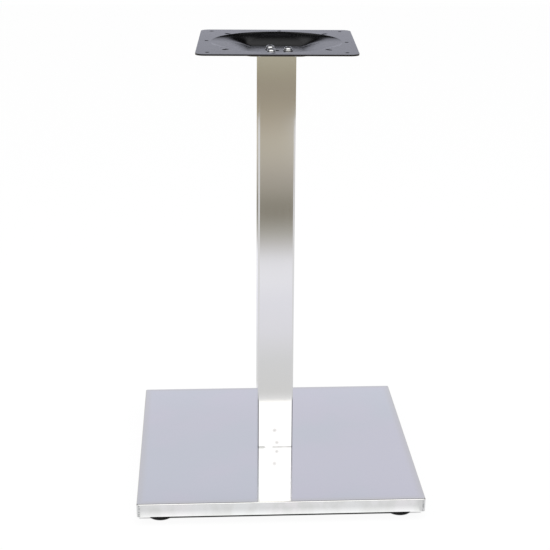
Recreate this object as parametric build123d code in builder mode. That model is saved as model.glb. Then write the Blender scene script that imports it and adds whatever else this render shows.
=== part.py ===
"""Square dining table base: folded stainless cover on a steel weight plate, square column, pressed top plate.

Millimetres, +Z up. The origin is the centre of the footprint on the floor, the front is -Y.
"""

from build123d import *
from math import cos, radians, sin, sqrt
import os

os.makedirs("parts", exist_ok=True)

# Whole object
total_height = 730.0
foot_gap = 16.0                 # from the floor to the lower edge of the cover's skirt

# Base cover, one folded sheet with welded corners
base_side = 460.0
skirt_height = 22.0
cover_sheet = 1.2
cover_corner_radius = 3.0
cover_fold_radius = 1.8

# Weight plate under the cover
weight_thickness = 8.0
weight_edge_clearance = 1.5
weight_corner_cut = 6.0

# Column
column_side = 60.0
column_wall = 1.2
column_corner_radius = 3.0
column_insert_clearance = 0.1
bottom_insert_thickness = 10.0
top_insert_thickness = 8.0

# Pressed top plate
plate_side = 248.0
plate_sheet = 2.5
plate_corner_radius = 14.0
plate_turn = -2.5               # degrees: the plate sits a little turned, within the play of its screw holes
dish_depth = 14.5
corner_hole_from_edge = 18.0
side_hole_from_edge = 13.0
side_hole_turn = -3.0           # degrees: the side holes stand a little round from the middle of each side
fixing_hole_diameter = 6.5
slot_from_edge = 44.8
slot_length = 12.0
slot_width = 6.5

# Each level of the pressed dish, round at the rim and square at the floor:
# share of the depth, half side and corner radius of its outline
dish_levels = (
    {"share": 0.00, "half_side": 104.0, "corner": 102.0},
    {"share": 0.255, "half_side": 84.0, "corner": 62.0},
    {"share": 0.50, "half_side": 68.0, "corner": 33.0},
    {"share": 0.76, "half_side": 55.0, "corner": 13.0},
    {"share": 1.00, "half_side": 43.0, "corner": 5.5},
)

# M8 fastenings
thread_diameter = 8.0
thread_clearance = 0.05         # on the radius, between a thread and its hole
bolt_hole_diameter = 9.0
washer_diameter = 16.0
washer_hole_diameter = 8.4
washer_thickness = 1.6

# Screws in the dish
top_screw_count = 3
top_screw_circle = 37.0
top_screw_length = 12.0
top_head_diameter = 14.0
top_head_height = 5.0
top_head_dome = 3.6
top_socket_width = 5.0
top_socket_depth = 2.6
dish_centre_hole = 10.0
dish_screw_hole = 10.0

# Bolts under the base
base_bolt_spacing = 32.0
base_bolt_length = 20.0
base_head_width = 13.0
base_head_height = 5.3

# Levelling feet
foot_inset = 37.0
foot_pad_diameter = 27.0
foot_pad_height = 8.0
foot_pad_top_diameter = 22.0
foot_pad_floor = 2.5
foot_disc_diameter = 14.0
foot_disc_height = 2.5
foot_play = 0.1                 # between the stud's disc and its socket in the pad
foot_collar_width = 13.0
foot_collar_height = 4.0
foot_nut_width = 14.0
foot_nut_height = 10.0
foot_travel_in = 6.0

# Levels worked out from the sizes above
cover_top = foot_gap + skirt_height
cover_under = cover_top - cover_sheet
weight_under = cover_under - weight_thickness
plate_top = total_height
plate_under = plate_top - plate_sheet
dish_floor = plate_top - dish_depth
column_top = dish_floor - plate_sheet
column_length = column_top - cover_top
corner_hole_spacing = plate_side - 2 * corner_hole_from_edge
side_hole_circle = plate_side - 2 * side_hole_from_edge
slot_circle = sqrt(2) * (plate_side - 2 * slot_from_edge)
insert_side = column_side - 2 * column_wall - 2 * column_insert_clearance
insert_corner_radius = max(column_corner_radius - column_wall, 0.2)
shank_radius = thread_diameter / 2 - thread_clearance
thread_hole_radius = thread_diameter / 2
foot_centre = base_side / 2 - foot_inset
foot_corners = {
    "front_left": (-foot_centre, -foot_centre),
    "front_right": (foot_centre, -foot_centre),
    "back_left": (-foot_centre, foot_centre),
    "back_right": (foot_centre, foot_centre),
}
foot_points = list(foot_corners.values())


def save(builder, name):
    """Label a finished piece and write it as its own file."""
    builder.part.label = name
    export_step(builder.part, f"parts/{name}.step")
    print(f"{name}: {len(builder.part.solids())} solid(s), {builder.part.volume / 1000:.1f} cm3")


# Base cover: a shallow tray turned upside down, open below
with BuildPart() as base_cover:
    with BuildSketch(Plane.XY.offset(foot_gap)):
        RectangleRounded(base_side, base_side, cover_corner_radius)
    extrude(amount=skirt_height)
    fillet(base_cover.faces().sort_by(Axis.Z)[-1].edges(), cover_fold_radius)
    with BuildSketch(Plane.XY.offset(foot_gap)):
        RectangleRounded(
            base_side - 2 * cover_sheet,
            base_side - 2 * cover_sheet,
            cover_corner_radius - cover_sheet,
        )
    extrude(amount=skirt_height - cover_sheet, mode=Mode.SUBTRACT)
    with Locations((0, 0, cover_top)):
        with GridLocations(base_bolt_spacing, base_bolt_spacing, 2, 2):
            Hole(bolt_hole_diameter / 2, depth=cover_sheet)

# Weight plate: flame-cut steel, drilled for the column bolts and the feet
weight_side = base_side - 2 * cover_sheet - 2 * weight_edge_clearance
with BuildPart() as weight_plate:
    with BuildSketch(Plane.XY.offset(weight_under)) as weight_outline:
        Rectangle(weight_side, weight_side)
        chamfer(weight_outline.vertices(), weight_corner_cut)
    extrude(amount=weight_thickness)
    with Locations((0, 0, cover_under)):
        with GridLocations(base_bolt_spacing, base_bolt_spacing, 2, 2):
            Hole(bolt_hole_diameter / 2, depth=weight_thickness)
        with Locations(*foot_points):
            Hole(thread_hole_radius, depth=weight_thickness)

# Column: square welded tube, open at both ends
with BuildPart() as column_tube:
    with BuildSketch(Plane.XY.offset(cover_top)):
        RectangleRounded(column_side, column_side, column_corner_radius)
        RectangleRounded(
            column_side - 2 * column_wall,
            column_side - 2 * column_wall,
            insert_corner_radius,
            mode=Mode.SUBTRACT,
        )
    extrude(amount=column_length)


def column_insert(low, thickness, tapped_points):
    """Square steel plate welded inside one end of the column, tapped for the bolts."""
    with BuildPart() as insert:
        with BuildSketch(Plane.XY.offset(low)):
            RectangleRounded(insert_side, insert_side, insert_corner_radius)
        extrude(amount=thickness)
        with Locations((0, 0, low + thickness)):
            with Locations(*tapped_points):
                Hole(thread_hole_radius, depth=thickness)
    return insert.part


half_bolt = base_bolt_spacing / 2
base_bolt_points = [(x, y) for x in (-half_bolt, half_bolt) for y in (-half_bolt, half_bolt)]
top_screw_points = [
    (
        top_screw_circle / 2 * cos(radians(360 / top_screw_count * i)),
        top_screw_circle / 2 * sin(radians(360 / top_screw_count * i)),
    )
    for i in range(top_screw_count)
]
with BuildPart() as bottom_insert:
    add(column_insert(cover_top, bottom_insert_thickness, base_bolt_points))
with BuildPart() as top_insert:
    add(column_insert(column_top - top_insert_thickness, top_insert_thickness, top_screw_points))
    with Locations((0, 0, column_top)):
        Hole(dish_centre_hole / 2, depth=top_insert_thickness)


def plate_level(height):
    """Level plane at the given height, turned with the top plate."""
    turn = radians(plate_turn)
    return Plane(origin=(0, 0, height), x_dir=(cos(turn), sin(turn), 0), z_dir=(0, 0, 1))


def dish_solid(top):
    """The pressed dish from the given level down, as a loft through its levels."""
    with BuildPart() as dish:
        for level in dish_levels:
            full_side = 2 * level["half_side"]
            with BuildSketch(plate_level(top - level["share"] * dish_depth)):
                RectangleRounded(full_side, full_side, level["corner"])
        loft()
    return dish.part


# Top plate: one pressed sheet, a flat rim round a dish whose walls slope down to a square floor
with BuildPart() as top_plate:
    with BuildSketch(plate_level(plate_under)):
        RectangleRounded(plate_side, plate_side, plate_corner_radius)
    extrude(amount=plate_sheet)
    add(dish_solid(plate_under))
    add(dish_solid(plate_top), mode=Mode.SUBTRACT)
    with BuildSketch(plate_level(plate_under)):
        with GridLocations(corner_hole_spacing, corner_hole_spacing, 2, 2):
            Circle(fixing_hole_diameter / 2)
        with PolarLocations(side_hole_circle / 2, 4, start_angle=side_hole_turn):
            Circle(fixing_hole_diameter / 2)
        with PolarLocations(slot_circle / 2, 4, start_angle=45):
            SlotOverall(slot_length, slot_width)
    extrude(amount=plate_sheet, mode=Mode.SUBTRACT)
    with BuildSketch(plate_level(column_top)):
        Circle(dish_centre_hole / 2)
        with PolarLocations(top_screw_circle / 2, top_screw_count):
            Circle(dish_screw_hole / 2)
    extrude(amount=plate_sheet, mode=Mode.SUBTRACT)


def washers(low, points):
    """Plain washers with their lower face at the given level."""
    with BuildPart() as ring:
        with BuildSketch(Plane.XY.offset(low)):
            with Locations(*points):
                Circle(washer_diameter / 2)
                Circle(washer_hole_diameter / 2, mode=Mode.SUBTRACT)
        extrude(amount=washer_thickness)
    return ring


top_washers = washers(dish_floor, top_screw_points)
base_washers = washers(weight_under - washer_thickness, base_bolt_points)

# Screws in the dish: domed heads with a hexagon socket
head_seat = dish_floor + washer_thickness
with BuildPart() as top_screws:
    with BuildSketch(Plane.XY.offset(head_seat)):
        with Locations(*top_screw_points):
            Circle(top_head_diameter / 2)
    extrude(amount=top_head_height)
    fillet(top_screws.faces().filter_by(Axis.Z).group_by(Axis.Z)[-1].edges(), top_head_dome)
    with BuildSketch(Plane.XY.offset(head_seat + top_head_height)):
        with Locations(*top_screw_points):
            RegularPolygon(top_socket_width / 2, 6, major_radius=False)
    extrude(amount=-top_socket_depth, mode=Mode.SUBTRACT)
    with BuildSketch(Plane.XY.offset(head_seat)):
        with Locations(*top_screw_points):
            Circle(shank_radius)
    extrude(amount=-top_screw_length)

# Bolts under the base: hexagon heads, screwed up into the column's lower insert
bolt_seat = weight_under - washer_thickness
with BuildPart() as base_bolts:
    with BuildSketch(Plane.XY.offset(bolt_seat)):
        with Locations(*base_bolt_points):
            RegularPolygon(base_head_width / 2, 6, major_radius=False)
    extrude(amount=-base_head_height)
    with BuildSketch(Plane.XY.offset(bolt_seat)):
        with Locations(*base_bolt_points):
            Circle(shank_radius)
    extrude(amount=base_bolt_length)

# Nuts welded under the weight plate, one over each foot
with BuildPart() as foot_nuts:
    with BuildSketch(Plane.XY.offset(weight_under)):
        with Locations(*foot_points):
            RegularPolygon(foot_nut_width / 2, 6, major_radius=False)
            Circle(thread_hole_radius, mode=Mode.SUBTRACT)
    extrude(amount=-foot_nut_height)

# Levelling foot: a pad with a socket, and a stud that turns in it
socket_radius = foot_disc_diameter / 2 + foot_play
socket_top = foot_pad_floor + foot_disc_height + 2 * foot_play
neck_radius = shank_radius + foot_play
with BuildPart() as pad:
    with BuildSketch(Plane.XZ):
        with BuildLine():
            Polyline(
                (0, 0),
                (foot_pad_diameter / 2 - 1, 0),
                (foot_pad_diameter / 2, 1),
                (foot_pad_diameter / 2, foot_pad_height * 0.6),
                (foot_pad_top_diameter / 2, foot_pad_height),
                (neck_radius, foot_pad_height),
                (neck_radius, socket_top),
                (socket_radius, socket_top),
                (socket_radius, foot_pad_floor),
                (0, foot_pad_floor),
                close=True,
            )
        make_face()
    revolve(axis=Axis.Z)

disc_low = foot_pad_floor + foot_play
collar_low = foot_pad_height + 2 * foot_play
stud_top = cover_under - foot_travel_in - 2 * foot_play
with BuildPart() as stud:
    with BuildSketch(Plane.XY.offset(disc_low)):
        Circle(foot_disc_diameter / 2)
    extrude(amount=foot_disc_height)
    with BuildSketch(Plane.XY.offset(disc_low)):
        Circle(shank_radius)
    extrude(amount=stud_top - disc_low)
    chamfer(stud.faces().sort_by(Axis.Z)[-1].edges(), 0.8)
    with BuildSketch(Plane.XY.offset(collar_low)):
        RegularPolygon(foot_collar_width / 2, 6, major_radius=False)
    extrude(amount=foot_collar_height)

save(base_cover, "base_cover")
save(weight_plate, "weight_plate")
save(column_tube, "column_tube")
save(bottom_insert, "column_bottom_insert")
save(top_insert, "column_top_insert")
save(top_plate, "top_plate")
save(top_washers, "top_washers")
save(top_screws, "top_screws")
save(base_washers, "base_washers")
save(base_bolts, "base_bolts")
save(foot_nuts, "foot_nuts")
for corner, (x, y) in foot_corners.items():
    with BuildPart() as corner_pad:
        with Locations((x, y, 0)):
            add(pad.part)
    save(corner_pad, f"foot_pad_{corner}")
    with BuildPart() as corner_stud:
        with Locations((x, y, 0)):
            add(stud.part)
    save(corner_stud, f"foot_stud_{corner}")
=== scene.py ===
# %% [markdown]
# # A square dining table base in brushed stainless steel
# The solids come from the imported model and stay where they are. This lesson gives them
# finishes, adds the small parts that a solid model leaves out, and sets up a plain studio.
# Everything is in metres, the floor is z = 0 and the front of the base looks along -Y.

# %% Load the frame
import bpy
import bmesh
import math
from mathutils import Matrix, Vector


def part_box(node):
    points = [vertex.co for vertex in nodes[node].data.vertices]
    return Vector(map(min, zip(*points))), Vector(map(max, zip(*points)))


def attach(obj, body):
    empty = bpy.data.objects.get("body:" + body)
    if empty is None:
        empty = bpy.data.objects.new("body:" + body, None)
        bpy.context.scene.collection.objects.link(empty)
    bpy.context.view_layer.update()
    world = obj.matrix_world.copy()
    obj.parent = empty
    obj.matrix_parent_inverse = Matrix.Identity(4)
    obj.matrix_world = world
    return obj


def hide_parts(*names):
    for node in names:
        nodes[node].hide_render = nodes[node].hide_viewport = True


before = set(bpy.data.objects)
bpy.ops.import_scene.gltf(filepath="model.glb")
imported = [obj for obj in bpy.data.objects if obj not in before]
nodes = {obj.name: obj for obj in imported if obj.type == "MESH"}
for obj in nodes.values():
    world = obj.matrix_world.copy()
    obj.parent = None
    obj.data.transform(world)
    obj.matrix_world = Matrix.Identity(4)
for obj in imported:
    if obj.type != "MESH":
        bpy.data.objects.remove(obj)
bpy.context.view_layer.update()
mm = 0.001
print("nodes:", sorted(nodes))

# %% Places worked out from the frame
cover_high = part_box("base_cover")[1]
column_low, column_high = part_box("column_tube")
plate_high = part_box("top_plate")[1]
pad_low, pad_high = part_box("foot_pad_front_right")
pad_centre = (pad_low.x + pad_high.x) / 2
base_half = cover_high.x
column_half = column_high.x
plate_half = plate_high.x
widths = [round(2 * half, 4) for half in (base_half, column_half, plate_half)]
print("widths of the base, the column and the plate:", widths)

# %% [markdown]
# ## The camera
# The photograph looks down on the base by about eighteen degrees with a fairly long lens, so
# the column's sides stay nearly parallel. The camera could be aimed with a Track To
# constraint, but three angles say plainly where it looks and hold in any version.

# %% Camera
camera_place = Vector((-0.12366, -2.19386, 1.07570))
camera_yaw = math.radians(3.222)
camera_pitch = math.radians(18.509)
camera_roll = math.radians(-0.341)
camera_data = bpy.data.cameras.new("studio_camera")
camera_data.sensor_fit = "HORIZONTAL"
camera_data.sensor_width = 36.0
camera_data.lens = 90.69
camera = bpy.data.objects.new("studio_camera", camera_data)
bpy.context.scene.collection.objects.link(camera)
forward = Vector((
    math.sin(camera_yaw) * math.cos(camera_pitch),
    math.cos(camera_yaw) * math.cos(camera_pitch),
    -math.sin(camera_pitch),
))
level_right = Vector((math.cos(camera_yaw), -math.sin(camera_yaw), 0.0))
level_up = level_right.cross(forward)
right = math.cos(camera_roll) * level_right - math.sin(camera_roll) * level_up
up = math.sin(camera_roll) * level_right + math.cos(camera_roll) * level_up
turn = Matrix((right, up, -forward)).transposed()
camera.matrix_world = Matrix.Translation(camera_place) @ turn.to_4x4()
bpy.context.scene.camera = camera
print("camera stands", round(camera_place.length, 3), "m from the origin")

# %% [markdown]
# ## The studio's light
# Polished steel shows the room more than itself, so the room is part of the likeness. It is
# seen by mirror rays only: a round wall and a floor, painted with soft bands of light. A
# photograph of a room could be wrapped round the scene instead, but bands need no file and
# each one says what it does.

# %% Helpers for shader trees
scene = bpy.context.scene
scene.view_settings.view_transform = "Standard"
print("view transform:", scene.view_settings.view_transform)


def node_tree(owner):
    """Empty the owner's shader tree and return its nodes and links."""
    owner.use_nodes = True
    tree = owner.node_tree
    tree.nodes.clear()
    return tree.nodes, tree.links


def add_node(tree_nodes, kind, **inputs):
    """Add a shader node, with values given by input name (underscores for spaces)."""
    node = tree_nodes.new(kind)
    for name, value in inputs.items():
        node.inputs[name.replace("_", " ")].default_value = value
    return node


def connect(links, socket, value):
    """Link a socket, or set its value."""
    if isinstance(value, bpy.types.NodeSocket):
        links.new(value, socket)
    elif isinstance(value, tuple):
        socket.default_value = (*value, 1.0)
    elif value is not None:
        socket.default_value = value


def add_math(tree_nodes, links, operation, a, b=None, c=None):
    """A Math node on values that are sockets or numbers."""
    node = tree_nodes.new("ShaderNodeMath")
    node.operation = operation
    for socket, value in zip(node.inputs, (a, b, c)):
        connect(links, socket, value)
    return node.outputs[0]


print("helpers: node_tree, add_node, connect, add_math")

# %% Helpers for colours and steps


def add_ramp(tree_nodes, links, factor, stops):
    """A Color Ramp on a factor; each stop is a position and a colour."""
    node = tree_nodes.new("ShaderNodeValToRGB")
    elements = node.color_ramp.elements
    while len(elements) > 1:
        elements.remove(elements[-1])
    for index, (position, colour) in enumerate(stops):
        element = elements[0] if index == 0 else elements.new(position)
        element.position = position
        element.color = (*colour, 1.0)
    connect(links, node.inputs["Fac"], factor)
    return node.outputs["Color"]


def add_mix(tree_nodes, links, factor, a, b):
    """A colour mix; factor, a and b are sockets or values."""
    node = tree_nodes.new("ShaderNodeMix")
    node.data_type = "RGBA"
    connect(links, node.inputs[0], factor)
    connect(links, node.inputs[6], a)
    connect(links, node.inputs[7], b)
    return node.outputs[2]


def smooth_step(tree_nodes, links, value, start, end):
    """0 below start, 1 above end and a smooth rise between."""
    node = tree_nodes.new("ShaderNodeMapRange")
    node.interpolation_type = "SMOOTHSTEP"
    node.inputs["From Min"].default_value = start
    node.inputs["From Max"].default_value = end
    connect(links, node.inputs["Value"], value)
    return node.outputs[0]


print("helpers: add_ramp, add_mix, smooth_step")

# %% Helpers for places and products


def multiply(tree_nodes, links, first, *others):
    """The product of two or more sockets or numbers."""
    for other in others:
        first = add_math(tree_nodes, links, "MULTIPLY", first, other)
    return first


def add_length(tree_nodes, links, along, across):
    """The length of a step that goes so far along and so far across."""
    square = multiply(tree_nodes, links, along, along)
    square = add_math(tree_nodes, links, "MULTIPLY_ADD", across, across, square)
    return add_math(tree_nodes, links, "SQRT", square)


def object_axes(tree_nodes, links):
    """The three Object coordinates as separate values."""
    split = tree_nodes.new("ShaderNodeSeparateXYZ")
    links.new(tree_nodes.new("ShaderNodeTexCoord").outputs["Object"], split.inputs[0])
    return split.outputs["X"], split.outputs["Y"], split.outputs["Z"]


print("helpers: multiply, add_length, object_axes")

# %% Helpers for the studio


def mix_shaders(tree_nodes, links, factor, a, b):
    """A Mix Shader node: a where the factor is 0 and b where it is 1."""
    node = tree_nodes.new("ShaderNodeMixShader")
    for socket, value in zip(node.inputs, (factor, a, b)):
        connect(links, socket, value)
    return node.outputs[0]


def stage_piece(name, bm, paint):
    """Turn a bmesh into a piece of the studio, which isn't part of the object."""
    mesh = bpy.data.meshes.new(name)
    bm.to_mesh(mesh)
    bm.free()
    mesh.shade_smooth()
    mesh.materials.append(paint)
    piece = bpy.data.objects.new(name, mesh)
    scene.collection.objects.link(piece)
    return piece


print("helpers: mix_shaders, stage_piece")

# %% [markdown]
# ## The world
# The camera sees plain white behind the base, and dull surfaces get an even fill of light.
# Mirrors see a ceiling above the wall: bright in front, grey overhead and dark behind. An
# even white world would be simpler, but it would turn the dish grey and hide every edge.

# %% World
fill = (0.80, 0.80, 0.81)
ceiling_bright = (2.00, 2.00, 2.00)
ceiling_grey = (0.55, 0.55, 0.58)
ceiling_dark = (0.00, 0.00, 0.00)
bright_edge = (-0.20, -0.55)
grey_edge = (0.42, 0.14)
world = bpy.data.worlds.new("studio_room")
scene.world = world
room, room_links = node_tree(world)
rays = room.new("ShaderNodeLightPath")
room_way = room.new("ShaderNodeSeparateXYZ")
room_links.new(room.new("ShaderNodeTexCoord").outputs["Generated"], room_way.inputs[0])
ceiling_front = smooth_step(room, room_links, room_way.outputs["Y"], *bright_edge)
ceiling_middle = smooth_step(room, room_links, room_way.outputs["Y"], *grey_edge)
ceiling = add_mix(room, room_links, ceiling_middle, ceiling_dark, ceiling_grey)
ceiling = add_mix(room, room_links, ceiling_front, ceiling, ceiling_bright)
glossy_room = add_mix(room, room_links, rays.outputs["Is Diffuse Ray"], ceiling, fill)
seen_room = add_mix(room, room_links, rays.outputs["Is Camera Ray"], glossy_room, (1.0, 1.0, 1.0))
background = room.new("ShaderNodeBackground")
room_links.new(seen_room, background.inputs["Color"])
world_output = room.new("ShaderNodeOutputWorld")
room_links.new(background.outputs[0], world_output.inputs["Surface"])
print("world: white to the camera, a bright ceiling in front, grey overhead and dark behind")

# %% [markdown]
# ## The wall
# A ring of wall almost three metres out. Its foot carries on the floor's tan, and from half
# a metre to one and a half it is blue-grey all round, which is what the top of the base
# mirrors. Above that it is dark at the back, so the dish turns black where it slopes towards
# the camera, and bright at the front, which draws the white line along the fold. One broad
# soft window in front gives the white band, a darker strip at either side draws the edges of
# the column, and a small skylight high at the back lightens the foot of the dish's far wall.

# %% Wall bands
wall_radius = 2.9
wall_height = 4.0
low_bands = [
    (0.00, (0.41, 0.365, 0.28)),
    (0.05, (0.358, 0.316, 0.238)),
    (0.12, (0.318, 0.275, 0.215)),
    (0.16, (0.352, 0.318, 0.232)),
    (0.22, (0.435, 0.40, 0.306)),
    (0.32, (0.46, 0.43, 0.35)),
]
back_bands = low_bands + [
    (0.60, (0.64, 0.65, 0.74)),
    (1.14, (0.66, 0.67, 0.765)),
    (1.30, (0.62, 0.63, 0.715)),
    (1.70, (0.62, 0.63, 0.72)),
    (1.90, (0.26, 0.27, 0.30)),
    (2.02, (0.05, 0.05, 0.06)),
    (2.20, (0.01, 0.01, 0.01)),
    (4.00, (0.01, 0.01, 0.01)),
]
front_bands = low_bands + [
    (0.60, (0.70, 0.70, 0.74)),
    (1.54, (0.66, 0.67, 0.73)),
    (1.75, (2.00, 2.00, 2.00)),
    (4.00, (2.00, 2.00, 2.00)),
]
front_half = (-0.2, -2.0)
wall_paint = bpy.data.materials.new("studio_wall")
plaster, plaster_links = node_tree(wall_paint)
wall_x, wall_y, wall_z = object_axes(plaster, plaster_links)
wall_side = add_math(plaster, plaster_links, "ABSOLUTE", wall_x)
level = add_math(plaster, plaster_links, "DIVIDE", wall_z, wall_height)
back_light, front_light = [
    add_ramp(plaster, plaster_links, level, [(z / wall_height, colour) for z, colour in bands])
    for bands in (back_bands, front_bands)
]
to_front = smooth_step(plaster, plaster_links, wall_y, *front_half)
wall_light = add_mix(plaster, plaster_links, to_front, back_light, front_light)
print("wall bands:", len(back_bands), "at the back,", len(front_bands), "in front")

# %% Dark sides, window and skylight
dark_colour = (0.24, 0.24, 0.26)
dark_edge = (2.00, 2.55)
dark_foot = (0.45, 0.70)
dark_side = smooth_step(plaster, plaster_links, wall_side, *dark_edge)
dark_low = smooth_step(plaster, plaster_links, wall_z, *dark_foot)
dark_side = multiply(plaster, plaster_links, dark_side, dark_low)
wall_light = add_mix(plaster, plaster_links, dark_side, wall_light, dark_colour)

window_colour = (1.45, 1.45, 1.44)
window_middle = 0.16
window_edge = (1.60, 1.20)
window_depth = (-1.8, -2.1)
window_sill = (0.55, 0.75)
window_offset = add_math(plaster, plaster_links, "SUBTRACT", wall_x, window_middle)
window_offset = add_math(plaster, plaster_links, "ABSOLUTE", window_offset)
window_side = smooth_step(plaster, plaster_links, window_offset, *window_edge)
window_front = smooth_step(plaster, plaster_links, wall_y, *window_depth)
window_low = smooth_step(plaster, plaster_links, wall_z, *window_sill)
window = multiply(plaster, plaster_links, window_side, window_front, window_low)
wall_light = add_mix(plaster, plaster_links, window, wall_light, window_colour)

skylight_colour = (0.50, 0.50, 0.51)
skylight_edge = (0.65, 0.35)
skylight_depth = (1.6, 2.2)
skylight_sill = (2.45, 3.9)
skylight_side = smooth_step(plaster, plaster_links, wall_side, *skylight_edge)
skylight_back = smooth_step(plaster, plaster_links, wall_y, *skylight_depth)
skylight_high = smooth_step(plaster, plaster_links, wall_z, *skylight_sill)
skylight = multiply(plaster, plaster_links, skylight_side, skylight_back, skylight_high)
wall_light = add_mix(plaster, plaster_links, skylight, wall_light, skylight_colour)
print("wall openings: a window in front and a skylight behind")

# %% Wall
wall_glow = plaster.new("ShaderNodeEmission")
plaster_links.new(wall_light, wall_glow.inputs["Color"])
clear = plaster.new("ShaderNodeBsdfTransparent")
wall_rays = plaster.new("ShaderNodeLightPath")
wall_choice = mix_shaders(
    plaster, plaster_links, wall_rays.outputs["Is Glossy Ray"],
    clear.outputs[0], wall_glow.outputs[0],
)
wall_output = plaster.new("ShaderNodeOutputMaterial")
plaster_links.new(wall_choice, wall_output.inputs["Surface"])
bm = bmesh.new()
bmesh.ops.create_cone(
    bm, cap_ends=False, segments=96, radius1=wall_radius, radius2=wall_radius,
    depth=wall_height, matrix=Matrix.Translation((0, 0, wall_height / 2)),
)
wall = stage_piece("studio_wall", bm, wall_paint)
print("wall:", len(wall.data.polygons), "faces")

# %% [markdown]
# ## The floor
# A white paper sweep lies under the base. It ends about one and a third metres out, and past
# its edge the steel mirrors a plain tan floor: this is what gives the column its darker upper
# half. The bands are square and run right round, so all four faces of the column look alike.
# To the camera the floor is white, with a dark line of shadow under the skirt and a dark
# rim where each pad meets the floor.

# %% Floor bands
floor_reach = 6.0
# The first two bands, under the base, are painted shade: the floor that the steel mirrors there
# is drawn dark, as if in the base's shadow.
sweep_bands = [
    (0.000, (0.10, 0.10, 0.10)),
    (0.225, (0.14, 0.14, 0.14)),
    (0.245, (1.15, 1.15, 1.15)),
    (0.2625, (1.15, 1.15, 1.15)),
    (0.2655, (0.78, 0.78, 0.79)),
    (0.303, (0.83, 0.83, 0.84)),
    (0.318, (0.84, 0.84, 0.85)),
    (0.350, (0.69, 0.69, 0.69)),
    (0.52, (0.70, 0.705, 0.72)),
    (0.69, (0.79, 0.785, 0.835)),
    (0.89, (0.815, 0.81, 0.87)),
    (1.03, (0.875, 0.87, 0.915)),
    (1.19, (0.845, 0.84, 0.885)),
    (1.27, (0.68, 0.675, 0.685)),
    (1.32, (0.59, 0.57, 0.565)),
    (1.41, (0.44, 0.425, 0.385)),
    (1.50, (0.34, 0.325, 0.28)),
    (1.57, (0.265, 0.245, 0.20)),
    (1.65, (0.24, 0.22, 0.178)),
    (1.76, (0.28, 0.26, 0.213)),
    (1.87, (0.365, 0.338, 0.284)),
    (2.04, (0.416, 0.38, 0.327)),
    (2.24, (0.49, 0.45, 0.38)),
    (2.53, (0.525, 0.482, 0.393)),
    (2.77, (0.45, 0.397, 0.32)),
    (3.13, (0.358, 0.316, 0.238)),
    (3.54, (0.32, 0.277, 0.216)),
    (3.77, (0.352, 0.318, 0.232)),
    (4.20, (0.435, 0.40, 0.306)),
    (5.80, (0.46, 0.43, 0.35)),
]
paper = bpy.data.materials.new("studio_paper")
sheet, sheet_links = node_tree(paper)
floor_x, floor_y, _ = object_axes(sheet, sheet_links)
off_x = add_math(sheet, sheet_links, "ABSOLUTE", floor_x)
off_y = add_math(sheet, sheet_links, "ABSOLUTE", floor_y)
off_side = add_math(sheet, sheet_links, "MAXIMUM", off_x, off_y)
off_corner = add_math(sheet, sheet_links, "MINIMUM", off_x, off_y)
band_place = add_math(sheet, sheet_links, "DIVIDE", off_side, floor_reach)
band_colour = add_ramp(
    sheet, sheet_links, band_place,
    [(reach / floor_reach, colour) for reach, colour in sweep_bands],
)
corner_colour = (0.74, 0.74, 0.75)
corner_edge = (base_half - 0.0060, base_half - 0.0010)
near_corner = smooth_step(sheet, sheet_links, off_corner, *corner_edge)
band_colour = add_mix(sheet, sheet_links, near_corner, band_colour, corner_colour)
print("floor bands:", len(sweep_bands))

# %% Shadow under the skirt and round the pads
skirt_shade = (base_half - 0.0235, base_half - 0.0265)
strip_back = (base_half - 0.0300, base_half - 0.0270)
strip_end = (base_half - 0.0010, base_half - 0.0040)
strip_half = (0.01, -0.01)
strip_dark = 0.55
pad_shade = (0.0180, 0.0200)
whiteness = 0.95
under_x = smooth_step(sheet, sheet_links, off_x, *skirt_shade)
under_y = smooth_step(sheet, sheet_links, off_y, *skirt_shade)
strip_y = smooth_step(sheet, sheet_links, off_y, *strip_back)
within_x = smooth_step(sheet, sheet_links, off_x, *strip_end)
in_front = smooth_step(sheet, sheet_links, floor_y, *strip_half)
strip = multiply(sheet, sheet_links, under_y, strip_y, within_x)
strip = multiply(sheet, sheet_links, strip, multiply(sheet, sheet_links, in_front, strip_dark))
under = multiply(sheet, sheet_links, under_x, under_y)
under = add_math(sheet, sheet_links, "MAXIMUM", under, strip)
outside = add_math(sheet, sheet_links, "SUBTRACT", 1.0, under)
foot_x = add_math(sheet, sheet_links, "SUBTRACT", off_x, pad_centre)
foot_y = add_math(sheet, sheet_links, "SUBTRACT", off_y, pad_centre)
from_foot = add_length(sheet, sheet_links, foot_x, foot_y)
clear_of_foot = smooth_step(sheet, sheet_links, from_foot, *pad_shade)
in_open = multiply(sheet, sheet_links, outside, clear_of_foot)
whitening = multiply(sheet, sheet_links, in_open, whiteness)
print("floor shadow: starts", round(base_half - skirt_shade[0], 4), "m inside the base's edge")

# %% Floor
paper_surface = add_node(sheet, "ShaderNodeBsdfDiffuse", Color=(0.92, 0.92, 0.92, 1.0))
dark_surface = add_node(sheet, "ShaderNodeBsdfDiffuse", Color=(0.10, 0.10, 0.10, 1.0))
white_glow = add_node(sheet, "ShaderNodeEmission", Color=(1.0, 1.0, 1.0, 1.0))
band_glow = sheet.new("ShaderNodeEmission")
sheet_links.new(band_colour, band_glow.inputs["Color"])
see_through = sheet.new("ShaderNodeBsdfTransparent")
floor_rays = sheet.new("ShaderNodeLightPath")
from_below = sheet.new("ShaderNodeNewGeometry").outputs["Backfacing"]
lit = mix_shaders(
    sheet, sheet_links, in_open, dark_surface.outputs[0], paper_surface.outputs[0]
)
lit = mix_shaders(sheet, sheet_links, whitening, lit, white_glow.outputs[0])
seen = mix_shaders(
    sheet, sheet_links, floor_rays.outputs["Is Camera Ray"], paper_surface.outputs[0], lit
)
seen = mix_shaders(
    sheet, sheet_links, floor_rays.outputs["Is Glossy Ray"], seen, band_glow.outputs[0]
)
seen = mix_shaders(sheet, sheet_links, from_below, seen, see_through.outputs[0])
floor_output = sheet.new("ShaderNodeOutputMaterial")
sheet_links.new(seen, floor_output.inputs["Surface"])
bm = bmesh.new()
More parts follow.
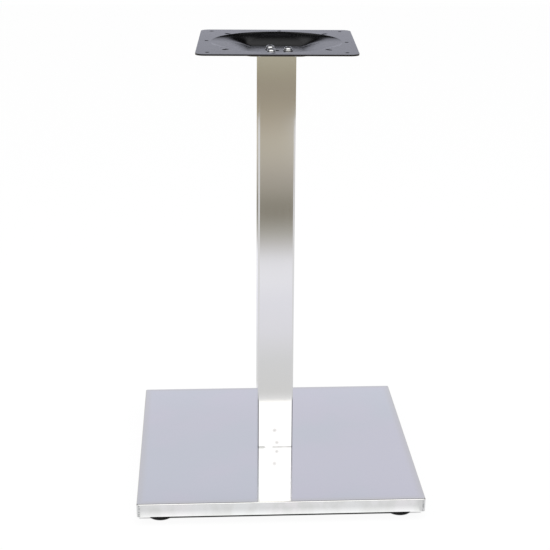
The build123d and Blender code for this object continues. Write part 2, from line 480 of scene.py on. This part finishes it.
bmesh.ops.create_grid(bm, x_segments=2, y_segments=2, size=floor_reach)
floor = stage_piece("studio_floor", bm, paper)
print("floor:", round(2 * floor_reach), "m square,", len(floor.data.polygons), "faces")

# %% [markdown]
# ## The lamps
# Three soft lamps light the dull parts: the nylon pads, the primer and the white paper. The
# steel must not mirror them, or each would show as a hard white square along the fold.

# %% Lamps


def soft_lamp(name, place, aim, size, power):
    """A square area lamp at a place, turned towards a point; mirrors don't show it."""
    lamp_data = bpy.data.lights.new(name, "AREA")
    lamp_data.shape = "SQUARE"
    lamp_data.size = size
    lamp_data.energy = power
    lamp = bpy.data.objects.new(name, lamp_data)
    way = Vector(aim) - Vector(place)
    lamp.rotation_euler = way.to_track_quat("-Z", "Y").to_euler()
    lamp.location = place
    lamp.visible_glossy = False
    scene.collection.objects.link(lamp)


soft_lamp("left_lamp", place=(-1.8, -1.6, 2.6), aim=(0, 0, 0.4), size=1.0, power=30)
soft_lamp("right_lamp", place=(1.9, -1.2, 2.4), aim=(0, 0, 0.4), size=1.0, power=22)
soft_lamp("top_lamp", place=(0.1, -0.6, 2.9), aim=(0, 0, 0.5), size=0.7, power=22)

# %% [markdown]
# ## Finishes
# Every finish is one Principled shader. The stainless steel is a metal with a fine grain:
# long thin noise, drawn out along the direction of brushing, changes the roughness and the
# surface a little. A picture of brushed steel could do the same, but the noise needs no
# file, never repeats and keeps its scale on every piece.

# %% Helpers for finishes


def principled(name, colour, metallic, roughness):
    """A material with one Principled shader; also returns its nodes, links and shader."""
    finish = bpy.data.materials.new(name)
    tree_nodes, links = node_tree(finish)
    shader = tree_nodes.new("ShaderNodeBsdfPrincipled")
    shader.inputs["Base Color"].default_value = (*colour, 1.0)
    shader.inputs["Metallic"].default_value = metallic
    shader.inputs["Roughness"].default_value = roughness
    output = tree_nodes.new("ShaderNodeOutputMaterial")
    links.new(shader.outputs[0], output.inputs["Surface"])
    return finish, tree_nodes, links, shader


def stretched_noise(tree_nodes, links, stretch, detail=3.0):
    """Noise on Object coordinates, with its own scale along each axis."""
    place = tree_nodes.new("ShaderNodeTexCoord").outputs["Object"]
    mapping = tree_nodes.new("ShaderNodeMapping")
    mapping.inputs["Scale"].default_value = stretch
    links.new(place, mapping.inputs["Vector"])
    noise = add_node(tree_nodes, "ShaderNodeTexNoise", Scale=1.0, Detail=detail, Roughness=0.55)
    links.new(mapping.outputs["Vector"], noise.inputs["Vector"])
    return noise.outputs["Fac"]


def add_bump(tree_nodes, links, shader, height, strength, depth):
    """A Bump node into the shader's normal."""
    bump = add_node(tree_nodes, "ShaderNodeBump", Strength=strength, Distance=depth)
    links.new(height, bump.inputs["Height"])
    links.new(bump.outputs["Normal"], shader.inputs["Normal"])


def blotches(tree_nodes, links, scale, tint_a, tint_b):
    """A slow colour change between two near tints, a few blotches to the metre."""
    slow = stretched_noise(tree_nodes, links, (scale, scale, scale), 2.0)
    spread = smooth_step(tree_nodes, links, slow, 0.35, 0.65)
    return add_mix(tree_nodes, links, spread, tint_a, tint_b)


def brushed_steel(name, tint_a, tint_b, grain, rough_low, rough_high):
    """Stainless steel, brushed along the axis where the grain's stretch is smallest."""
    finish, tree_nodes, links, shader = principled(name, tint_a, 1.0, rough_low)
    fine = stretched_noise(tree_nodes, links, grain)
    rub = stretched_noise(tree_nodes, links, (14, 14, 9), 4.0)
    rough = tree_nodes.new("ShaderNodeMapRange")
    rough.inputs["From Min"].default_value = 0.3
    rough.inputs["From Max"].default_value = 0.7
    rough.inputs["To Min"].default_value = rough_low
    rough.inputs["To Max"].default_value = rough_high
    links.new(add_math(tree_nodes, links, "MULTIPLY_ADD", rub, 0.35, fine), rough.inputs["Value"])
    links.new(rough.outputs[0], shader.inputs["Roughness"])
    add_bump(tree_nodes, links, shader, fine, strength=0.03, depth=0.00004)
    return finish, tree_nodes, links, shader, blotches(tree_nodes, links, 7.0, tint_a, tint_b)


print("helpers: principled, stretched_noise, add_bump, blotches, brushed_steel")

# %% [markdown]
# ## Marks on the column
# The joint between the column and the base shows as a thin grey line with breaks in it, and
# two small grey smudges sit on the column's front a few centimetres above. They are drawn
# by distance in Object coordinates. Decals on small planes would also work, but they would
# float over the steel.

# %% Column steel
column_steel, tube_nodes, tube_links, tube_shader, tube_tint = brushed_steel(
    "column_steel", tint_a=(0.885, 0.88, 0.87), tint_b=(0.872, 0.872, 0.868),
    grain=(1800, 1800, 12), rough_low=0.05, rough_high=0.09,
)
mark_colour = (0.36, 0.36, 0.35)
line_height = 0.0014
line_thicker = 0.0010
line_blur = 0.0004
thick_end_at = (-0.0170, -0.0200)
gap_left = (-0.0185, -0.0150)
gap_right = (-0.0030, -0.0060)
gap_clear = 0.85
tube_x, tube_y, tube_z = object_axes(tube_nodes, tube_links)
joint_breaks = stretched_noise(tube_nodes, tube_links, (120, 120, 120), 3.0)
joint_strength = tube_nodes.new("ShaderNodeMapRange")
joint_strength.inputs["To Min"].default_value = 0.40
joint_strength.inputs["To Max"].default_value = 0.85
tube_links.new(joint_breaks, joint_strength.inputs["Value"])
gap_start = smooth_step(tube_nodes, tube_links, tube_x, *gap_left)
gap_end = smooth_step(tube_nodes, tube_links, tube_x, *gap_right)
gap = multiply(tube_nodes, tube_links, gap_start, gap_end)
beside_gap = add_math(tube_nodes, tube_links, "MULTIPLY_ADD", gap, -gap_clear, 1.0)
thick_end = smooth_step(tube_nodes, tube_links, tube_x, *thick_end_at)
line_top = add_math(
    tube_nodes, tube_links, "MULTIPLY_ADD", thick_end, line_thicker, column_low.z + line_height
)
below_top = add_math(tube_nodes, tube_links, "SUBTRACT", line_top, tube_z)
joint_line = smooth_step(tube_nodes, tube_links, below_top, -line_blur, line_blur)
marks = multiply(tube_nodes, tube_links, joint_line, joint_strength.outputs[0], beside_gap)
print("column mark: the joint line")

# %% Smudges on the column
smudges = [(-0.001, 0.0695, 0.0062), (0.003, 0.0465, 0.0056)]
smudge_strength = 0.60
front_face = smooth_step(tube_nodes, tube_links, tube_y, 0.0, -column_half)
for smudge_x, smudge_z, smudge_size in smudges:
    aside = add_math(tube_nodes, tube_links, "SUBTRACT", tube_x, smudge_x)
    above = add_math(tube_nodes, tube_links, "SUBTRACT", tube_z, smudge_z)
    away = add_length(tube_nodes, tube_links, aside, above)
    smudge = smooth_step(tube_nodes, tube_links, away, smudge_size, 0.0)
    smudge = multiply(tube_nodes, tube_links, smudge, front_face, smudge_strength)
    marks = add_math(tube_nodes, tube_links, "MAXIMUM", marks, smudge)
tube_colour = add_mix(tube_nodes, tube_links, marks, tube_tint, mark_colour)
tube_links.new(tube_colour, tube_shader.inputs["Base Color"])
print("column marks: the joint line and", len(smudges), "smudges")

# %% [markdown]
# ## Marks and painted reflections on the cover
# The four corners of the skirt are welded and ground flat, which leaves a dotted dark seam
# four millimetres in from each corner. The skirt's tone changes a little along its length, a
# painted reflection that stands in for a sheet that isn't quite flat, and beside the fold the
# top is painted warmer, a painted reflection in place of the blue it mirrors elsewhere. All
# three come from Object coordinates again.

# %% Cover steel
cover_steel, skin_nodes, skin_links, skin_shader, skin_tint = brushed_steel(
    "cover_steel", tint_a=(0.864, 0.876, 0.876), tint_b=(0.894, 0.876, 0.888),
    grain=(10, 1600, 1600), rough_low=0.05, rough_high=0.09,
)
seam_inset = 0.0040
seam_width = (0.0016, 0.0005)
seam_colour = (0.44, 0.45, 0.45)
skirt_face = (base_half - 0.0006, base_half - 0.0002)
# Painted reflection: darker patches on the skirt stand in for a sheet that isn't quite flat.
skirt_reflection_spread = (0.38, 0.66)
skirt_reflection_colour = (0.795, 0.802, 0.79)
# Painted reflection: the top beside the fold is tinted warm, in place of the blue-grey it mirrors
# elsewhere.
rim_edge = (base_half - 0.0150, base_half - 0.0020)
rim_level = (cover_high.z - 0.0010, cover_high.z - 0.0002)
rim_reflection_strength = 0.6
rim_reflection_colour = (0.85, 0.83, 0.76)
skin_x, skin_y, skin_z = object_axes(skin_nodes, skin_links)
side_x = add_math(skin_nodes, skin_links, "ABSOLUTE", skin_x)
side_y = add_math(skin_nodes, skin_links, "ABSOLUTE", skin_y)
near_side = add_math(skin_nodes, skin_links, "MINIMUM", side_x, side_y)
far_side = add_math(skin_nodes, skin_links, "MAXIMUM", side_x, side_y)
on_skirt = smooth_step(skin_nodes, skin_links, far_side, *skirt_face)
print("skirt starts", round(skirt_face[0], 4), "m from the middle")

# %% Seams, with painted reflections on the skirt and rim of the cover
seam_offset = add_math(skin_nodes, skin_links, "SUBTRACT", near_side, base_half - seam_inset)
seam_offset = add_math(skin_nodes, skin_links, "ABSOLUTE", seam_offset)
seam = smooth_step(skin_nodes, skin_links, seam_offset, *seam_width)
seam_dots = stretched_noise(skin_nodes, skin_links, (250, 250, 420), 2.0)
seam_dots = smooth_step(skin_nodes, skin_links, seam_dots, 0.38, 0.60)
seam = multiply(skin_nodes, skin_links, seam, on_skirt, seam_dots)
# Painted reflection on the skirt: random darker patches in the base colour.
skirt_reflection = stretched_noise(skin_nodes, skin_links, (34, 34, 24), 3.0)
skirt_reflection = smooth_step(skin_nodes, skin_links, skirt_reflection, *skirt_reflection_spread)
skirt_reflection = multiply(skin_nodes, skin_links, skirt_reflection, on_skirt)
# Painted reflection on the top beside the fold, mixed into the base colour.
rim_reflection_mask = smooth_step(skin_nodes, skin_links, far_side, *rim_edge)
rim_top = smooth_step(skin_nodes, skin_links, skin_z, *rim_level)
rim_reflection_mask = multiply(skin_nodes, skin_links, rim_reflection_mask, rim_reflection_strength, rim_top)
skin_colour = add_mix(skin_nodes, skin_links, skirt_reflection, skin_tint, skirt_reflection_colour)
skin_colour = add_mix(skin_nodes, skin_links, rim_reflection_mask, skin_colour, rim_reflection_colour)
skin_colour = add_mix(skin_nodes, skin_links, seam, skin_colour, seam_colour)
skin_links.new(skin_colour, skin_shader.inputs["Base Color"])
print("cover marks: four ground seams, an uneven skirt and a paler rim")

# %% [markdown]
# ## Black paint on the pressed plate
# The plate is sprayed with a satin black over the pressing. The paint has a fine orange
# peel, a little uneven gloss and a few specks of dust. It stays very dark where it mirrors
# the dark part of the room, so its own colour is almost black. Little spray reaches the
# walls of the holes, which stay dull: they are found by their level normals.

# %% Plate paint
paint_colour = (0.001, 0.001, 0.0012)
dust_colour = (0.05, 0.05, 0.05)
holes_within = (0.1155, 0.1135)
upright_wall = (0.5, 0.2)
paint_shine = 0.50
shine_lost = 0.47
enamel, enamel_nodes, enamel_links, enamel_shader = principled(
    "black_enamel", paint_colour, metallic=0.0, roughness=0.15
)
enamel_shader.inputs["IOR"].default_value = 1.55
orange_peel = stretched_noise(enamel_nodes, enamel_links, (900, 900, 900), 2.0)
add_bump(enamel_nodes, enamel_links, enamel_shader, orange_peel, strength=0.12, depth=0.0002)
gloss = stretched_noise(enamel_nodes, enamel_links, (45, 45, 45), 3.0)
gloss_range = enamel_nodes.new("ShaderNodeMapRange")
gloss_range.inputs["To Min"].default_value = 0.11
gloss_range.inputs["To Max"].default_value = 0.18
enamel_links.new(gloss, gloss_range.inputs["Value"])
enamel_links.new(gloss_range.outputs[0], enamel_shader.inputs["Roughness"])
specks = stretched_noise(enamel_nodes, enamel_links, (1300, 1300, 1300), 1.0)
specks = smooth_step(enamel_nodes, enamel_links, specks, 0.74, 0.80)
enamel_colour = add_mix(enamel_nodes, enamel_links, specks, paint_colour, dust_colour)
enamel_links.new(enamel_colour, enamel_shader.inputs["Base Color"])
plate_x, plate_y, _ = object_axes(enamel_nodes, enamel_links)
plate_x = add_math(enamel_nodes, enamel_links, "ABSOLUTE", plate_x)
plate_y = add_math(enamel_nodes, enamel_links, "ABSOLUTE", plate_y)
plate_reach = add_math(enamel_nodes, enamel_links, "MAXIMUM", plate_x, plate_y)
plate_way = enamel_nodes.new("ShaderNodeSeparateXYZ")
plate_normal = enamel_nodes.new("ShaderNodeTexCoord").outputs["Normal"]
enamel_links.new(plate_normal, plate_way.inputs[0])
upright = add_math(enamel_nodes, enamel_links, "ABSOLUTE", plate_way.outputs["Z"])
upright = smooth_step(enamel_nodes, enamel_links, upright, *upright_wall)
hole_wall = smooth_step(enamel_nodes, enamel_links, plate_reach, *holes_within)
hole_wall = multiply(enamel_nodes, enamel_links, hole_wall, upright)
shine = add_math(
    enamel_nodes, enamel_links, "MULTIPLY_ADD", hole_wall, -shine_lost, paint_shine
)
enamel_links.new(shine, enamel_shader.inputs["Specular IOR Level"])
print("plate paint: satin black, dull in the holes")

# %% [markdown]
# ## The hidden finishes
# The weight plate is primed in matt black over mill scale, with scuffs down to the metal.
# The inserts and nuts are plain steel with a blue-brown bloom. The screws, bolts, washers
# and studs are zinc plated, faintly yellow and blue. The pads are moulded nylon with a very
# fine grain. Each is one shader with noise at the scale of the real mark.

# %% Primer, plain steel, zinc and nylon
primer, primer_nodes, primer_links, primer_shader = principled(
    "plate_primer", (0.02, 0.02, 0.02), metallic=0.0, roughness=0.7
)
primer_shader.inputs["Specular IOR Level"].default_value = 0.3
scuffs = stretched_noise(primer_nodes, primer_links, (30, 160, 160), 6.0)
scuffs = smooth_step(primer_nodes, primer_links, scuffs, 0.68, 0.74)
scale_grain = stretched_noise(primer_nodes, primer_links, (240, 240, 240), 5.0)
primer_dark, primer_light = (0.012, 0.012, 0.012), (0.035, 0.034, 0.033)
primer_colour = add_mix(primer_nodes, primer_links, scale_grain, primer_dark, primer_light)
primer_colour = add_mix(primer_nodes, primer_links, scuffs, primer_colour, (0.16, 0.155, 0.15))
primer_links.new(primer_colour, primer_shader.inputs["Base Color"])
add_bump(primer_nodes, primer_links, primer_shader, scale_grain, strength=0.35, depth=0.0004)

plain_steel, plain_nodes, plain_links, plain_shader = principled(
    "plain_steel", (0.42, 0.40, 0.38), metallic=1.0, roughness=0.45
)
bloom = stretched_noise(plain_nodes, plain_links, (60, 60, 60), 4.0)
bloom_colour = add_mix(plain_nodes, plain_links, bloom, (0.50, 0.49, 0.48), (0.30, 0.27, 0.26))
plain_links.new(bloom_colour, plain_shader.inputs["Base Color"])
saw_marks = stretched_noise(plain_nodes, plain_links, (1500, 60, 60), 3.0)
add_bump(plain_nodes, plain_links, plain_shader, saw_marks, strength=0.20, depth=0.0001)

zinc, zinc_nodes, zinc_links, zinc_shader = principled(
    "bright_zinc", (0.80, 0.81, 0.84), metallic=1.0, roughness=0.11
)
passivate = stretched_noise(zinc_nodes, zinc_links, (130, 130, 130), 2.0)
zinc_colour = add_mix(zinc_nodes, zinc_links, passivate, (0.80, 0.82, 0.87), (0.84, 0.82, 0.76))
zinc_links.new(zinc_colour, zinc_shader.inputs["Base Color"])
crystals = stretched_noise(zinc_nodes, zinc_links, (1600, 1600, 1600), 2.0)
add_bump(zinc_nodes, zinc_links, zinc_shader, crystals, strength=0.08, depth=0.0001)

nylon, nylon_nodes, nylon_links, nylon_shader = principled(
    "pad_nylon", (0.012, 0.012, 0.012), metallic=0.0, roughness=0.5
)
mould_grain = stretched_noise(nylon_nodes, nylon_links, (1400, 1400, 1400), 3.0)
nylon_dark, nylon_light = (0.008, 0.008, 0.008), (0.020, 0.020, 0.020)
nylon_colour = add_mix(nylon_nodes, nylon_links, mould_grain, nylon_dark, nylon_light)
nylon_links.new(nylon_colour, nylon_shader.inputs["Base Color"])
add_bump(nylon_nodes, nylon_links, nylon_shader, mould_grain, strength=0.25, depth=0.0001)
print("hidden finishes:", primer.name, plain_steel.name, zinc.name, nylon.name)

# %% [markdown]
# ## A finish for every CAD node
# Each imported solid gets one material. The pieces added further down take the place of most
# of them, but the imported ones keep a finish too, in case a piece is left out one day.

# %% Finishes on the CAD nodes
finish_of = {"base_cover": cover_steel, "column_tube": column_steel, "top_plate": enamel}
finish_of["weight_plate"] = primer
for node_name in nodes:
    if node_name.startswith("foot_pad"):
        finish_of[node_name] = nylon
    elif "insert" in node_name or node_name == "foot_nuts":
        finish_of[node_name] = plain_steel
    slots = nodes[node_name].data.materials
    slots.clear()
    slots.append(finish_of.get(node_name, zinc))
print("finishes:", sorted(m.name for m in bpy.data.materials if m.users))

# %% [markdown]
# ## Pieces with their small features
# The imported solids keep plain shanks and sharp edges. The parts below take their places from
# the frame and add what the eye expects: rolled threads, chamfered hexagons and rounded
# rims. Each could be carved with booleans, but turning a short profile round an axis gives
# clean rings and costs little.

# %% Helpers for turned pieces


def finish_piece(name, bm, finish, body, replaced):
    """Turn a bmesh into a piece, smooth it by angle and put it in place of a CAD node."""
    bmesh.ops.remove_doubles(bm, verts=bm.verts, dist=0.000002)
    bmesh.ops.recalc_face_normals(bm, faces=bm.faces)
    mesh = bpy.data.meshes.new(name)
    bm.to_mesh(mesh)
    bm.free()
    mesh.shade_smooth()
    mesh.set_sharp_from_angle(angle=math.radians(35))
    mesh.materials.append(finish)
    piece = bpy.data.objects.new(name, mesh)
    scene.collection.objects.link(piece)
    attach(piece, body)
    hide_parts(replaced)


def turned(bm, profile, centre, steps=48):
    """Spin a profile of (radius, height) points about a vertical axis through the centre."""
    verts = [bm.verts.new((centre[0] + radius, centre[1], height)) for radius, height in profile]
    edges = [bm.edges.new(pair) for pair in zip(verts, verts[1:])]
    bmesh.ops.spin(
        bm, geom=verts + edges, cent=(centre[0], centre[1], 0), axis=(0, 0, 1),
        angle=2 * math.pi, steps=steps, use_merge=True,
    )


def round_profile(points, radius, steps=3):
    """Round the inner corners of an open profile of (radius, height) points."""
    out = [points[0]]
    for before, here, after in zip(points, points[1:], points[2:]):
        here_v, before_v, after_v = Vector(here), Vector(before), Vector(after)
        reach = min(radius, 0.45 * (before_v - here_v).length, 0.45 * (after_v - here_v).length)
        start = here_v + (before_v - here_v).normalized() * reach
        end = here_v + (after_v - here_v).normalized() * reach
        for k in range(steps + 1):
            t = k / steps
            point = (1 - t) ** 2 * start + 2 * t * (1 - t) * here_v + t ** 2 * end
            out.append((point.x, point.y))
    out.append(points[-1])
    return out


print("helpers: finish_piece, turned, round_profile")

# %% Helpers for screws, bolts and washers
crest = 3.95 * mm
core = 3.3 * mm
pitch = 1.25 * mm
washer_bore = 4.2 * mm
washer_reach = 8.0 * mm


def threaded(bm, centre, low, high, steps=32):
    """An M8 thread: a saw-tooth profile spun one turn while it climbs one pitch."""
    teeth = int((high - low) / pitch)
    profile = []
    for k in range(teeth):
        foot = low + k * pitch
        profile.append((core, foot))
        profile.append((crest, foot + 0.44 * pitch))
        profile.append((crest, foot + 0.56 * pitch))
    profile.append((core, low + teeth * pitch))
    verts = [bm.verts.new((centre[0] + radius, centre[1], height)) for radius, height in profile]
    edges = [bm.edges.new(pair) for pair in zip(verts, verts[1:])]
    bmesh.ops.spin(
        bm, geom=verts + edges, cent=(centre[0], centre[1], 0), axis=(0, 0, 1),
        dvec=(0, 0, pitch / steps), angle=2 * math.pi, steps=steps, use_merge=False,
    )


def cylinder(bm, centre, radius, low, high):
    """A closed cylinder with 32 sides."""
    turned(bm, [(0, low), (radius, low), (radius, high), (0, high)], centre, 32)


def chamfered_hexagon(bm, centre, low, high, across_flats, chamfer):
    """A hexagon prism whose corners are turned off at both ends."""
    corner = across_flats / math.sqrt(3)
    place = Matrix.Translation((centre[0], centre[1], (low + high) / 2))
    blank = bmesh.ops.create_cone(
        bm, cap_ends=True, segments=6, radius1=corner, radius2=corner, depth=high - low,
        matrix=place @ Matrix.Rotation(math.pi / 6, 4, "Z"),
    )
    rims = [
        edge for edge in {e for v in blank["verts"] for e in v.link_edges}
        if abs(edge.verts[0].co.z - edge.verts[1].co.z) < 1e-6
    ]
    bmesh.ops.bevel(
        bm, geom=rims, offset=chamfer, offset_type="OFFSET", segments=2, profile=0.5,
        affect="EDGES", material=-1,
    )


def stamped_washers(name, centres, low, high, replaced):
    """Flat rings with rounded rims, one at each centre, in place of a CAD node."""
    ring = [
        (washer_bore, low), (washer_reach, low), (washer_reach, high),
        (washer_bore, high), (washer_bore, low),
    ]
    bm = bmesh.new()
    for centre in centres:
        turned(bm, round_profile(ring, 0.4 * mm), centre)
    finish_piece(name, bm, zinc, "base", replaced)


print("thread radii:", round(core / mm, 2), "to", round(crest / mm, 2), "mm")

# %% Helper for softened pieces


def softened_copy(name, node_name, finish, width):
    """Copy a CAD node's mesh, merge its split corners and round its sharp edges a little."""
    bm = bmesh.new()
    bm.from_mesh(nodes[node_name].data)
    bmesh.ops.transform(bm, matrix=nodes[node_name].matrix_world, verts=bm.verts)
    bmesh.ops.remove_doubles(bm, verts=bm.verts, dist=0.00001)
    bmesh.ops.dissolve_limit(
        bm, angle_limit=math.radians(2), use_dissolve_boundaries=False,
        verts=bm.verts, edges=bm.edges,
    )
    sharp = [
        e for e in bm.edges
        if len(e.link_faces) == 2 and e.calc_face_angle() > math.radians(40)
    ]
    bmesh.ops.bevel(
        bm, geom=sharp, offset=width, offset_type="OFFSET", segments=2, profile=0.5,
        affect="EDGES", material=-1, clamp_overlap=True,
    )
    print(name, "edges rounded:", len(sharp))
    finish_piece(name, bm, finish, "base", node_name)


print("helper: softened_copy")

# %% [markdown]
# ## Screws in the dish
# Three domed screws hold the plate. Each head is a quarter ellipse turned round its axis, so
# it mirrors the room in one smooth curve, with a hexagon socket pushed into its crown. The
# socket's loop is bridged to the dome's inner ring, which needs the same number of corners
# in both.

# %% Profile of a domed head
screw_low, screw_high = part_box("top_screws")
ring_low, ring_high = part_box("top_washers")
screw_circle = 18.5 * mm
screw_turns = [2 * math.pi * k / 3 for k in range(3)]
screw_centres = [(screw_circle * math.cos(t), screw_circle * math.sin(t)) for t in screw_turns]
head_radius = 7.0 * mm
head_bore = 3.9 * mm
seat = ring_high.z
head_tall = screw_high.z - seat
side = 0.28 * head_tall
rise = head_tall - side
crown = 3.35 * mm
crown_level = seat + side + rise * math.sqrt(1 - (crown / head_radius) ** 2)
socket_corner = 5.0 * mm / math.sqrt(3)
socket_deep = 2.3 * mm
under_head = 0.3 * mm
dome = [
    (head_radius * math.cos(t), seat + side + rise * math.sin(t))
    for t in (0.12 * k for k in range(10))
]
dome = [point for point in dome if point[0] > crown]
head_profile = [
    (head_bore, seat), (head_radius - under_head, seat), (head_radius, seat + under_head),
    *dome, (crown, crown_level),
]
print("head profile:", len(head_profile), "points")

# %% Domed screws
bm = bmesh.new()
for centre in screw_centres:
    middle = Vector(centre)
    turned(bm, head_profile, centre)
    socket = bmesh.ops.create_circle(
        bm, cap_ends=False, segments=6, radius=socket_corner,
        matrix=Matrix.Translation((centre[0], centre[1], crown_level - 0.15 * mm)),
    )
    socket_rim = list({e for v in socket["verts"] for e in v.link_edges})
    bmesh.ops.subdivide_edges(bm, edges=socket_rim, cuts=7)
    rim_edges = [
        e for e in bm.edges
        if len(e.link_faces) == 0 and (e.verts[0].co.xy - middle).length < crown
    ]
    crown_edges = [
        e for e in bm.edges
        if len(e.link_faces) == 1 and all(
            abs((v.co.xy - middle).length - crown) < 1e-6 and v.co.z > seat + 1 * mm
            for v in e.verts
        )
    ]
    bmesh.ops.bridge_loops(bm, edges=rim_edges + crown_edges)
    walls = bmesh.ops.extrude_edge_only(bm, edges=rim_edges)
    sunk = [g for g in walls["geom"] if isinstance(g, bmesh.types.BMVert)]
    bmesh.ops.translate(bm, vec=(0, 0, -socket_deep), verts=sunk)
    floor_edges = [e for e in bm.edges if all(v in sunk for v in e.verts)]
    bmesh.ops.contextual_create(bm, geom=floor_edges)
    shank = [(0, screw_low.z), (core, screw_low.z), (core, seat + 0.4 * mm)]
    turned(bm, shank, centre, 24)
    threaded(bm, centre, screw_low.z + 0.3 * mm, seat - 1.2 * mm)
finish_piece("domed_screws", bm, zinc, "base", "top_screws")
stamped_washers("dish_washers_stamped", screw_centres, ring_low.z, seat, "top_washers")
print("dish screws:", len(screw_centres))

# %% [markdown]
# ## Levelling feet
# Each pad is moulded nylon: a flat foot with a rounded rim, a thin parting line round its
# widest part and a soft shoulder. Each stud is a disc that sits in the pad, a hexagon collar
# for a spanner and a rolled M8 thread that runs up into the nut.

# %% Sizes of pads and studs
shoulder = 11.0 * mm
neck = 4.05 * mm
disc_room = 7.1 * mm
disc_radius = 7.0 * mm
disc_thick = 2.5 * mm
room_floor = 2.5 * mm
room_roof = 5.2 * mm
collar_gap = 0.2 * mm
collar_tall = 4.0 * mm
collar_flats = 13.0 * mm
print("stud collar:", round(collar_flats / mm, 1), "mm across flats")

# %% Pads and studs
for corner in ("front_left", "front_right", "back_left", "back_right"):
    pad_node = "foot_pad_" + corner
    stud_node = "foot_stud_" + corner
    low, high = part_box(pad_node)
    centre = ((low.x + high.x) / 2, (low.y + high.y) / 2)
    pad_radius = (high.x - low.x) / 2
    pad_height = high.z - low.z
    outline = [
        (0, low.z),
        (pad_radius - 3 * mm, low.z),
        (pad_radius - 3 * mm, low.z + 0.3 * mm),
        (pad_radius - 2.4 * mm, low.z + 0.3 * mm),
        (pad_radius - 1.9 * mm, low.z),
        (pad_radius, low.z),
        (pad_radius, low.z + 0.45 * pad_height),
        (pad_radius - 0.25 * mm, low.z + 0.47 * pad_height),
        (pad_radius - 0.25 * mm, low.z + 0.50 * pad_height),
        (pad_radius - 0.02 * mm, low.z + 0.52 * pad_height),
        (pad_radius - 0.2 * mm, low.z + 0.60 * pad_height),
        (shoulder, high.z),
        (neck, high.z),
        (neck, low.z + room_roof),
        (disc_room, low.z + room_roof),
        (disc_room, low.z + room_floor),
        (0, low.z + room_floor),
    ]
    bm = bmesh.new()
    turned(bm, round_profile(outline, 0.8 * mm), centre)
    finish_piece("pad_" + corner, bm, nylon, "pad_" + corner, pad_node)

    stud_low, stud_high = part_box(stud_node)
    collar_low = high.z + collar_gap
    collar_high = collar_low + collar_tall
    disc = [
        (0, stud_low.z),
        (disc_radius, stud_low.z),
        (disc_radius, stud_low.z + disc_thick),
        (crest, stud_low.z + disc_thick),
        (crest, collar_low + 0.2 * mm),
        (0, collar_low + 0.2 * mm),
    ]
    tip = [
        (0, collar_high - 0.3 * mm),
        (core, collar_high - 0.3 * mm),
        (core, stud_high.z - 0.6 * mm),
        (core - 0.6 * mm, stud_high.z),
        (0, stud_high.z),
    ]
    bm = bmesh.new()
    turned(bm, round_profile(disc, 0.3 * mm), centre, 32)
    chamfered_hexagon(bm, centre, collar_low, collar_high, collar_flats, 0.5 * mm)
    turned(bm, tip, centre, 32)
    threaded(bm, centre, collar_high - 0.2 * mm, stud_high.z - 2.2 * mm)
    finish_piece("stud_" + corner, bm, zinc, "stud_" + corner, stud_node)

# %% [markdown]
# ## Bolts and washers under the base
# Four hexagon bolts hold the column. Their heads get the turned-off corners and the raised
# washer face that a real bolt has, and their shanks the thread that shows in the hole of the
# lower insert. The washers are stamped, so their rims are rounded.

# %% Base bolts and washers
bolt_low, bolt_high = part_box("base_bolts")
washer_low, washer_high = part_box("base_washers")
bolt_reach = washer_high.x - washer_reach
bolt_centres = [(x, y) for x in (-bolt_reach, bolt_reach) for y in (-bolt_reach, bolt_reach)]
bolt_flats = 12.9 * mm
face_radius = 5.8 * mm
head_high = washer_low.z
bm = bmesh.new()
for centre in bolt_centres:
    chamfered_hexagon(bm, centre, bolt_low.z, head_high - 0.3 * mm, bolt_flats, 0.6 * mm)
    cylinder(bm, centre, face_radius, head_high - 0.35 * mm, head_high)
    cylinder(bm, centre, core, head_high - 0.1 * mm, bolt_high.z)
    threaded(bm, centre, head_high, bolt_high.z - 1.4 * mm)
finish_piece("bolts_with_threads", bm, zinc, "base", "base_bolts")
stamped_washers("washers_stamped", bolt_centres, washer_low.z, washer_high.z, "base_washers")
print("base bolts:", len(bolt_centres), "at", round(bolt_reach / mm, 3), "mm from the middle")

# %% [markdown]
# ## Nuts, inserts and weight plate
# These are cut from bar and plate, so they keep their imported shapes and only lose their
# sharp edges. A Bevel modifier would look the same, but the copy stays plain to export.

# %% Softened copies
for name, node_name, finish, slot, width in (
    ("nuts_softened", "foot_nuts", plain_steel, "bare_steel", 0.5 * mm),
    ("lower_insert_softened", "column_bottom_insert", plain_steel, "bare_steel", 0.4 * mm),
    ("upper_insert_softened", "column_top_insert", plain_steel, "bare_steel", 0.4 * mm),
    ("weight_plate_softened", "weight_plate", primer, "black_paint", 0.5 * mm),
):
    softened_copy(name, node_name, finish, width)
